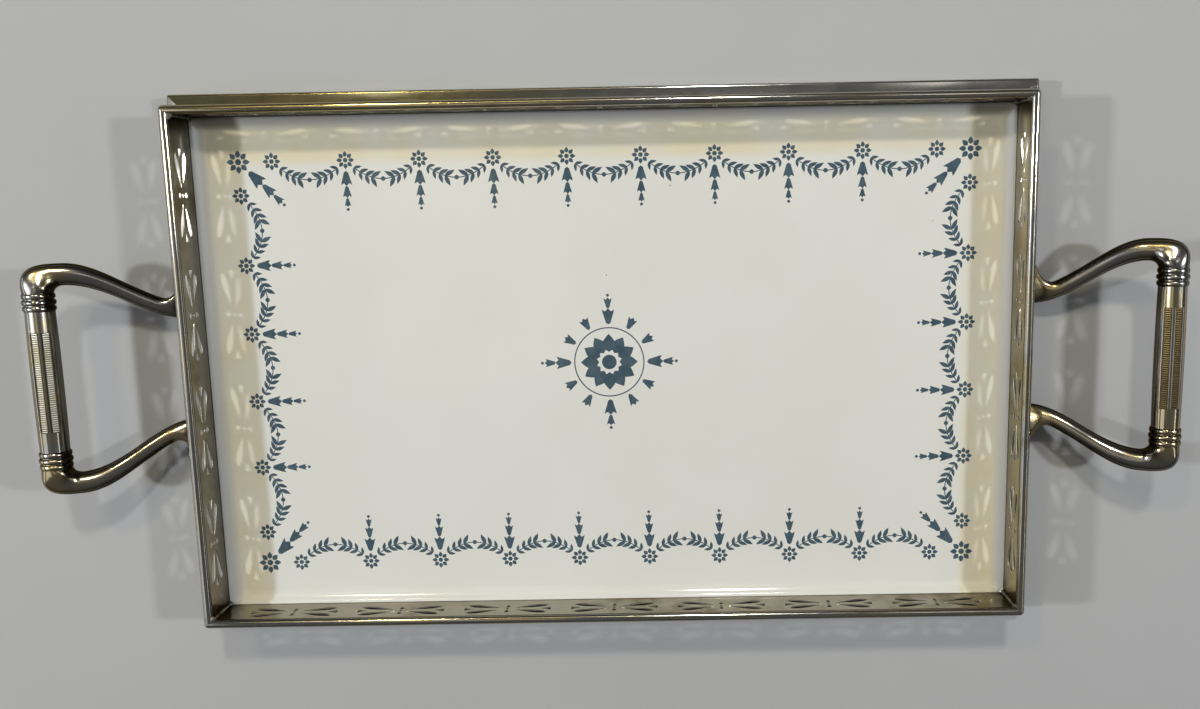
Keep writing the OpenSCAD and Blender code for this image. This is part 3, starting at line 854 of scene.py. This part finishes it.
def slit_outline(steps=16):
    length = MOTIF_L / 2 - SLIT_INSET - SLIT_START
    upper = []
    lower = []
    for i in range(steps + 1):
        t = i / steps
        middle = SLIT_NEAR + (SLIT_FAR - SLIT_NEAR) * t + SLIT_BOW * math.sin(math.pi * t)
        half = SLIT_W / 2 * max(0, math.sin(math.pi * t ** SLIT_PEAK)) ** (1 / SLIT_FULL)
        upper.append((SLIT_START + length * t, middle + half))
        lower.append((SLIT_START + length * t, middle - half))
    return lower + upper[-2:0:-1]


def motif_outlines():
    shapes = [disc((0, 0), MID_DOT_D / 2), disc((0, DOT_V), DOT_D / 2), disc((0, -DOT_V), DOT_D / 2)]
    wedge = [(MOTIF_L / 2 - WEDGE_L, 0), (MOTIF_L / 2, -WEDGE_W / 2), (MOTIF_L / 2, WEDGE_W / 2)]
    for end in (-1, 1):
        shapes.append([(end * x, y) for x, y in soften(wedge, WEDGE_SOFT, 3)])
        for v in (-1, 1):
            shapes.append([(end * x, v * y) for x, y in slit_outline()])
    return shapes


def motif_places(half):
    room = 2 * (half - MOTIF_MARGIN)
    count = int((room + MOTIF_GAP) // (MOTIF_L + MOTIF_GAP))
    reach = half - MOTIF_MARGIN - MOTIF_L / 2
    return [reach * (2 * i / (count - 1) - 1) for i in range(count)]


def gallery(side):
    """Pierced sheet with punched edges that are a little rounded."""
    half = half_along(side)
    holes = []
    for place in motif_places(half):
        holes += [anticlockwise([(place + x, PIERCE_Z + y) for x, y in shape]) for shape in motif_outlines()]
    mouths = [grow(hole, PUNCH_EDGE) for hole in holes]
    faces = []
    rows = []
    for out in (0, SHEET_SEEN):
        end = half + out
        sheet = [(-end, SHEET_LOW), (end, SHEET_LOW), (end, SHEET_HIGH), (-end, SHEET_HIGH)]
        rows.append([side_point(side, along, out, z) for along, z in sheet])
        for corners, held_by in cut_flat(sheet, mouths):
            if not held_by:
                faces.append([side_point(side, along, out, z) for along, z in corners])
    faces += skin(rows)
    edges = []
    outs = (0, PUNCH_EDGE, SHEET_SEEN - PUNCH_EDGE, SHEET_SEEN)
    for hole, mouth in zip(holes, mouths):
        rows = []
        for outline, out in zip((mouth, hole, hole, mouth), outs):
            rows.append([side_point(side, along, out, z) for along, z in outline])
        edges += skin(rows)
    name = SIDES[side]
    make_piece(f"pierced_wall_{name}", plain(faces) + plain(edges, 1), [WALL_NICKEL[side], CUT_EDGE],
               [f"gallery_{name}"], 30)


# Rim and base moulding

def rim(side):
    """Round bead, with a rebate that sits on the top edge of the sheet."""
    seat = math.degrees(math.acos((SHEET_SEEN - BEAD_OUT) / BEAD_R))
    steps = 40
    section = []
    for i in range(steps + 1):
        angle = math.radians(180 - (180 + seat) * i / steps)
        section.append((BEAD_OUT + BEAD_R * math.cos(angle), BEAD_Z + BEAD_R * math.sin(angle)))
    section.append((SHEET_SEEN, BEAD_Z))
    name = SIDES[side]
    faces = mitred_run(section, side, BEAD_OUT + BEAD_R - RIM_CORNER_R)
    material = BACK_RIM_NICKEL if name == "back" else RIM_NICKEL
    make_piece(f"rim_{name}", plain(faces), [material], [f"rim_bead_{name}"])


def rail_top(out):
    edge = RAIL_OUT - NOSE_R
    return NOSE_Z + RAIL_RISE * (edge - out) / (edge - SHEET_T)


# Solder: its radius, how much it varies and strays, and its thicker ends by added radius and share of height
SOLDER_R = 0.75
SOLDER_VARIES = 0.16
SOLDER_STRAYS = 0.1
SOLDER_FOOT = (1.3, 0.07)
SOLDER_HEAD = (1.5, 0.09)
SOLDER_TIP = 0.25
SOLDER_SUNK = 0.5
SOLDER_UP = 0.7


def corner_solder(x_name, x_sign, y_name, y_sign):
    """Solder run down an inside corner of the gallery, thicker at the plate and under the rim."""
    chance = random.Random(f"{x_name} {y_name}")
    steps = 40
    sides = 14
    low = plate_high.z - SOLDER_SUNK
    high = BEAD_Z + BEAD_R * SOLDER_UP
    rows = []
    for i in range(steps + 1):
        t = i / steps
        lump = sum(size * math.exp(-(place / reach) ** 2)
                   for place, (size, reach) in ((t, SOLDER_FOOT), (1 - t, SOLDER_HEAD)))
        close = SOLDER_TIP if i in (0, steps) else 1
        radius = (SOLDER_R + lump) * (1 + chance.uniform(-SOLDER_VARIES, SOLDER_VARIES)) * close
        x = HALF_L - SOLDER_STRAYS + chance.uniform(-SOLDER_STRAYS, SOLDER_STRAYS)
        y = HALF_W - SOLDER_STRAYS + chance.uniform(-SOLDER_STRAYS, SOLDER_STRAYS)
        z = low + (high - low) * t
        rows.append([(x_sign * px, y_sign * py, z) for px, py in disc((x, y), radius, sides)])
    faces = [rows[0], rows[-1]] + skin(rows)
    make_piece(f"corner_solder_{y_name}_{x_name}", plain(faces), [SOLDER], [], 70)


def moulding(side):
    """Base moulding: a ledge under sheet and plate, a web, and a hollow outer part with a round nose."""
    band_z = NOSE_Z - NOSE_H
    edge = RAIL_OUT - NOSE_R
    web_out = SHEET_T + RAIL_T
    channel_out = RAIL_OUT - FASCIA_IN - RAIL_T
    ledge_low = SHEET_LOW - LEDGE_T
    fascia_out = RAIL_OUT - FASCIA_IN
    outer = [(channel_out, 0), (RAIL_OUT, 0), (RAIL_OUT, TOE_H), (fascia_out, TOE_H + FASCIA_IN),
             (fascia_out, band_z - FASCIA_IN), (RAIL_OUT, band_z), (RAIL_OUT, NOSE_Z), (edge, NOSE_Z)]
    outer = [(out, z) for out, z in soften(outer, RAIL_SOFT)
             if z < NOSE_Z - NOSE_R and out > channel_out + RAIL_SOFT]
    nose = []
    steps = 12
    for i in range(steps + 1):
        angle = math.radians(90) * i / steps
        nose.append((edge + NOSE_R * math.cos(angle), NOSE_Z - NOSE_R + NOSE_R * math.sin(angle)))
    bevel = LEDGE_BEVEL
    inner = [(SHEET_SEEN, rail_top(SHEET_SEEN)), (SHEET_SEEN, SHEET_LOW), (-LEDGE_W + bevel, SHEET_LOW),
             (-LEDGE_W, SHEET_LOW - bevel), (-LEDGE_W, ledge_low + bevel), (-LEDGE_W + bevel, ledge_low),
             (web_out, ledge_low), (web_out, rail_top(web_out) - RAIL_T),
             (channel_out, rail_top(channel_out) - RAIL_T), (channel_out, bevel), (channel_out + bevel, 0)]
    faces = mitred_run(outer + nose + inner, side, RAIL_OUT - NOSE_R, 4)
    name = SIDES[side]
    make_piece(f"moulding_{name}", plain(faces), [RAIL_NICKEL[side]], [f"base_rail_{name}"])


# Handles

def smooth(t):
    t = min(1, max(0, t))
    return t * t * (3 - 2 * t)


def ring(x, y, turn, wide, high, z, square=2.0, sides=64):
    """Points of an oval across the arm. With square over 2 it is flatter on top."""
    points = []
    for i in range(sides):
        angle = 2 * math.pi * i / sides
        cosine, sine = math.cos(angle), math.sin(angle)
        size = (abs(cosine) ** square + abs(sine) ** square) ** (-1 / square)
        across = wide * size * cosine
        points.append((x - across * math.sin(turn), y + across * math.cos(turn), z + high * size * sine))
    return points


def lift(x):
    return max(0, x - FACE_X) * math.tan(HANDLE_TILT)


def at_end(points, x_sign, y_sign=1):
    """Moves points of the right-hand handle's back half to their place."""
    return [(x_sign * x, y_sign * y + x_sign * HANDLE_SHIFT, z) for x, y, z in points]


def arm_ring(x, root):
    """Ring of the arm between its root on the moulding and the elbow, on the tray's right back quarter."""
    span = ELBOW_X - FACE_X
    share = (x - FACE_X) / span
    y = root + (ELBOW_Y - root) * smooth(share)
    half = ARM_R + (ELBOW_R - ARM_R) * smooth(2 * share - 1)
    flare = min(1, max(0, (FACE_X + FLARE_L - x) / FLARE_L)) ** 2
    turn = (1 - flare) * math.atan((ELBOW_Y - root) / span * 6 * share * (1 - share))
    out = flare * FOOT_OUT / 2
    return ring(x - out * math.sin(turn), y + out * math.cos(turn), turn, half + out, half, ROOT_Z + lift(x))


def elbow_ring(angle):
    """Ring of the elbow, which turns by a right angle from the arm to the grip."""
    top = ELBOW_IN_R + 2 * ELBOW_R
    side = ELBOW_IN_R + 2 * STUB_R
    power = ELBOW_SQUARE
    out = ((math.sin(angle) / side) ** power + (abs(math.cos(angle)) / top) ** power) ** (-1 / power)
    middle = (out + ELBOW_IN_R) / 2
    x = ELBOW_X + middle * math.sin(angle)
    y = STUB_Y + middle * math.cos(angle)
    wide = (out - ELBOW_IN_R) / 2
    high = ELBOW_R + (STUB_R - ELBOW_R) * smooth(angle / math.radians(90))
    square = 2 + ELBOW_FLAT * math.sin(2 * angle)
    return ring(x, y, -angle, wide, high, ROOT_Z + lift(x), square)


def arm(side_name, x_sign, end_name, y_sign):
    root = ROOT_Y - x_sign * y_sign * HANDLE_SHIFT
    run_x = FACE_X + FLARE_L
    flare_steps, run_steps, turn_steps = 24, 36, 36
    rings = [arm_ring(FACE_X - NOSE_R, root)]
    for i in range(flare_steps + 1):
        rings.append(arm_ring(FACE_X + FLARE_L * i / flare_steps, root))
    for i in range(1, run_steps):
        rings.append(arm_ring(run_x + (ELBOW_X - run_x) * i / run_steps, root))
    for i in range(turn_steps + 1):
        rings.append(elbow_ring(math.radians(90) * i / turn_steps))
    rings = [at_end(points, x_sign, y_sign) for points in rings]
    faces = skin(rings) + [rings[0], rings[-1]]
    make_piece(f"{side_name}_handle_arm_{end_name}", plain(faces), [CAST_NICKEL],
               [f"{side_name}_arm_{end_name}"], 50)


def lathe(profile, x_sign, sides=72):
    """Faces of a closed profile of (place along Y, radius), turned about the grip's axis."""
    rows = []
    for y, radius in profile:
        row = []
        for i in range(sides):
            angle = 2 * math.pi * i / sides
            row.append((GRIP_X + radius * math.sin(angle), y, GRIP_Z + radius * math.cos(angle)))
        rows.append(at_end(row, x_sign))
    return skin(rows + rows[:1])


def collar(side_name, x_sign, end_name, y_sign):
    """Sleeve with round rings, the middle one proud of the others."""
    length = STUB_Y - COLLAR_Y
    pitch = length / RING_COUNT
    half = (pitch - RING_GROOVE) / 2
    steps = 12
    profile = [(0, COLLAR_BORE_R), (0, COLLAR_CORE_R)]
    for i in range(RING_COUNT):
        crest = COLLAR_R - (0 if i == RING_COUNT // 2 else RING_STEP)
        for k in range(steps + 1):
            angle = math.pi * k / steps
            place = pitch * (i + 0.5) - half * math.cos(angle)
            profile.append((place, COLLAR_CORE_R + (crest - COLLAR_CORE_R) * math.sin(angle) ** RING_FULL))
    profile += [(length, COLLAR_CORE_R), (length, COLLAR_BORE_R)]
    faces = lathe([(y_sign * (COLLAR_Y + y), radius) for y, radius in profile], x_sign)
    make_piece(f"{side_name}_ringed_collar_{end_name}", plain(faces), [CAST_NICKEL],
               [f"{side_name}_collar_{end_name}"], 60)


# A place round the grip: its panel's angle and the distance across the panel, or no panel and its own angle
Place = namedtuple("Place", "panel value on_floor on_edge")


def grip_section():
    """Places round the grip, in order."""
    half = math.degrees(math.asin(PANEL_W / 2 / GRIP_R))
    floor_steps = 8
    places = []
    panels = (PANEL_ANGLE, 180 - PANEL_ANGLE, 180 + PANEL_ANGLE, 360 - PANEL_ANGLE)
    arcs = (22, 5, 22, 5)
    for panel, following, steps in zip(panels, panels[1:] + (360 + PANEL_ANGLE,), arcs):
        places.append(Place(panel, -PANEL_W / 2, False, True))
        for i in range(floor_steps + 1):
            across = -PANEL_W / 2 + PANEL_WALL + (PANEL_W - 2 * PANEL_WALL) * i / floor_steps
            places.append(Place(panel, across, True, False))
        places.append(Place(panel, PANEL_W / 2, False, True))
        start = panel + half
        end = following - half
        places.append(Place(None, start + EDGE_ANGLE, False, True))
        for i in range(1, steps):
            places.append(Place(None, start + (end - start) * i / steps, False, False))
        places.append(Place(None, end - EDGE_ANGLE, False, True))
    return places


def grip_row(places, y, turn, floor):
    """One ring of the grip. Floor is the height of the panels' floor, or None outside the panels."""
    radius = GRIP_R - GRIP_BARREL * (y / COLLAR_Y) ** 2
    row = []
    for panel, value, low, _ in places:
        if panel is None:
            angle = math.radians(value) - turn
            point = Vector((math.sin(angle), math.cos(angle))) * radius
        else:
            angle = math.radians(panel) - turn
            ahead = Vector((math.sin(angle), math.cos(angle)))
            beside = Vector((math.cos(angle), -math.sin(angle)))
            rise = math.sqrt(radius * radius - value * value)
            if low and floor is not None:
                rise = floor
            point = ahead * rise + beside * value
        row.append((GRIP_X + point.x, y, GRIP_Z + point.y))
    return row


def grip(side_name, x_sign):
    """Barrelled sleeve with sunk panels, each crossed by fine ribs."""
    metal, rib_top, groove, panel_edge = range(4)
    places = grip_section()
    half = PANEL_L / 2
    steps = 8
    stations = [(-COLLAR_Y, None), (-COLLAR_Y + GRIP_PLAIN, None), (-half - PANEL_WALL, None), (-half, None)]
    for i in range(RIB_COUNT * steps + 1):
        t = i / (RIB_COUNT * steps)
        rib = min(1, max(0, RIB_MIDDLE - RIB_SWING * math.cos(2 * math.pi * t * RIB_COUNT)))
        y = (-half + PANEL_WALL) + (PANEL_L - 2 * PANEL_WALL) * t
        stations.append((y, GRIP_R - PANEL_D + RIB_H * rib))
    stations += [(half, None), (half + PANEL_WALL, None), (COLLAR_Y - GRIP_PLAIN, None), (COLLAR_Y, None)]
    turn = GRIP_TURN + (GRIP_SLIP if x_sign < 0 else 0)
    rows = [at_end(grip_row(places, y, turn, floor), x_sign) for y, floor in stations]
    floors = [floor for _, floor in stations]
    faces = []
    for first, second, here, there in zip(rows, rows[1:], floors, floors[1:]):
        for corners, near, far in zip(strip(first, second), places, places[1:] + places[:1]):
            number = metal
            on_floor = near.on_floor or far.on_floor
            if on_floor and (here is None) != (there is None):
                number = groove
            elif on_floor and here is not None:
                rise = (here + there) / 2 - GRIP_R + PANEL_D
                inside = max(abs(near.value), abs(far.value)) < PANEL_W / 2 - RIB_MARGIN
                number = rib_top if inside and rise > RIB_H * RIB_DARK_H else groove
            elif near.on_edge and far.on_edge and here is not None:
                number = panel_edge
            faces.append((corners, number))
    faces += plain([rows[0], rows[-1]])
    ribs, edge = (LEFT_RIBS, SHADED_PANEL_EDGE) if x_sign < 0 else (RIGHT_RIBS, RUBBED_HIGHLIT_EDGE)
    make_piece(f"{side_name}_ribbed_grip", faces, [GRIP_NICKEL, ribs, RIB_GROOVE_DARK, edge],
               [f"{side_name}_grip"], 40)


# The pieces

plate()
for number in range(4):
    gallery(number)
    rim(number)
    moulding(number)
for hand, x_way in SIGNS:
    grip(hand, x_way)
    for end, y_way in ENDS:
        arm(hand, x_way, end, y_way)
        collar(hand, x_way, end, y_way)
        corner_solder(hand, x_way, end, y_way)

# Pieces whose CAD shape is kept get a finish alone
for node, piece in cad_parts.items():
    finish = None
    if node.startswith("bedding"):
        finish = FELT
    elif node.startswith("corner_brace") or node == "gallery_rivets":
        finish = BRASS
    elif node.endswith("screws") or node.endswith("tie_rod"):
        finish = STEEL
    if finish:
        piece.data.materials.clear()
        piece.data.materials.append(finish)


# Floor, light and camera, in metres

FLOOR_HALF = 6.0
# Name, place, length, width, power in watts and colour of each lamp. The first three throw light
# through the slits, and the others are mostly for highlights on the metal.
LAMPS = (
    ("lamp_back", (0.10, 1.02, 1.27), 0.12, 0.12, 6.8, (1.0, 0.96, 0.88)),
    ("lamp_left", (-1.35, 0.15, 1.18), 0.10, 0.10, 10.0, (0.97, 0.99, 1.0)),
    ("lamp_right", (1.25, 0.20, 1.24), 0.10, 0.10, 9.0, (0.97, 0.99, 1.0)),
    ("spot_left", (-0.50, 0.42, 1.30), 0.25, 0.20, 0.18, (1.0, 0.95, 0.84)),
    ("spot_right", (0.50, 0.42, 1.30), 0.25, 0.20, 0.18, (1.0, 0.95, 0.84)),
    ("spot_back", (-0.56, 1.02, 1.27), 0.16, 0.08, 2.6, (1.0, 0.86, 0.48)),
    ("soft_back", (-0.45, 0.98, 1.28), 0.8, 0.16, 0.8, (1.0, 0.80, 0.36)),
    ("soft_left", (-1.28, -0.12, 1.20), 1.3, 0.95, 2.5, (0.96, 0.98, 1.0)),
    ("high_left", (-1.00, -0.03, 1.30), 0.40, 0.40, 0.35, (0.96, 0.98, 1.0)),
    ("soft_over", (-0.35, -0.03, 1.35), 0.45, 0.35, 0.2, (1.0, 0.86, 0.54)),
    ("strip_left", (-1.50, -0.05, 0.32), 1.2, 0.22, 1.2, (0.96, 0.98, 1.0)),
    ("strip_right", (1.35, -0.10, 0.85), 1.3, 0.12, 0.9, (0.97, 0.98, 1.0)),
)
SKY_ZENITH = 0.10
SKY_HORIZON = 0.04
SKY_FULL_HEIGHT = 0.9
SKY_COLOUR = (1.0, 0.99, 0.97)
# Viewing angle of the photograph: the tray is seen from above, a little from its back edge
CAMERA_PLACE = (0.03689, 0.07785, 0.50721)
CAMERA_TURN = (-8.4995, 0.2372, -1.0566)
CAMERA_LENS = 30.6
CAMERA_SENSOR = 36.0
CAMERA_NEAR = 0.01
CAMERA_SHIFT = (-0.0644, -0.0013)


def make_floor():
    mesh = bpy.data.meshes.new("floor")
    corners = [(x * FLOOR_HALF, y * FLOOR_HALF, 0) for x, y in ((-1, -1), (1, -1), (1, 1), (-1, 1))]
    mesh.from_pydata(corners, [], [(0, 1, 2, 3)])
    mesh.materials.append(FLOOR_PAINT)
    floor = bpy.data.objects.new("floor", mesh)
    bpy.context.scene.collection.objects.link(floor)


def make_lamps():
    for name, place, length, width, power, colour in LAMPS:
        light = bpy.data.lights.new(name, "AREA")
        light.shape = "RECTANGLE"
        light.size = length
        light.size_y = width
        light.energy = power
        light.color = colour
        lamp = bpy.data.objects.new(name, light)
        lamp.location = place
        lamp.rotation_euler = level_aim(Vector(place)).to_euler()
        bpy.context.scene.collection.objects.link(lamp)


def level_aim(place):
    """Turn of a lamp that faces the tray with its length level."""
    back = place.normalized()
    beside = Vector((0, 0, 1)).cross(back).normalized()
    return Matrix((beside, back.cross(beside), back)).transposed()


def make_sky():
    world = bpy.data.worlds.new("studio")
    world.use_nodes = True
    tree = world.node_tree
    direction = add(tree, "TexCoord").outputs["Generated"]
    up = add(tree, "SeparateXYZ", {0: direction}).outputs["Z"]
    level = fade(tree, up, 0.0, SKY_FULL_HEIGHT, SKY_HORIZON, SKY_ZENITH)
    tree.links.new(level, tree.nodes["Background"].inputs["Strength"])
    tree.nodes["Background"].inputs["Color"].default_value = rgb(*SKY_COLOUR)
    bpy.context.scene.world = world


def make_camera():
    data = bpy.data.cameras.new("camera")
    data.sensor_width = CAMERA_SENSOR
    data.lens = CAMERA_LENS
    data.shift_x, data.shift_y = CAMERA_SHIFT
    data.clip_start = CAMERA_NEAR
    camera = bpy.data.objects.new("camera", data)
    camera.location = CAMERA_PLACE
    camera.rotation_euler = Euler([math.radians(turn) for turn in CAMERA_TURN], "XYZ")
    bpy.context.scene.collection.objects.link(camera)
    bpy.context.scene.camera = camera


make_floor()
make_lamps()
make_sky()
make_camera()
bpy.context.scene.view_settings.view_transform = "Standard"
